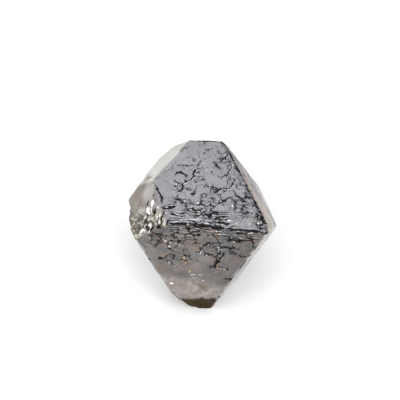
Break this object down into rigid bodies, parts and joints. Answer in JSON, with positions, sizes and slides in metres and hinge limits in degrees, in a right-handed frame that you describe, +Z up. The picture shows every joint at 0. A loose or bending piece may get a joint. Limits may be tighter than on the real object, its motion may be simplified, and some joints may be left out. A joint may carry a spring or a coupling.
{
  "type": "rough diamond crystal",
  "caption": "Loose uncut diamond: a distorted octahedron with etched, stepped faces, a broken side corner and a broken tip, lying on one face.",
  "frame": {"origin": "centre of the foot of the bounding box, on the surface that the crystal rests on", "axes": "+Z up, away from the face that the crystal rests on; +X along the front edge between the two broad faces, towards the right of the picture; +Y towards the hidden back"},
  "size_m": [0.0076, 0.007, 0.0059],
  "materials": {
    "diamond": "grey translucent diamond with glossy etched faces"
  },
  "bodies": {
    "root": {"diamond_crystal": "diamond"}
  },
  "joints": []
}
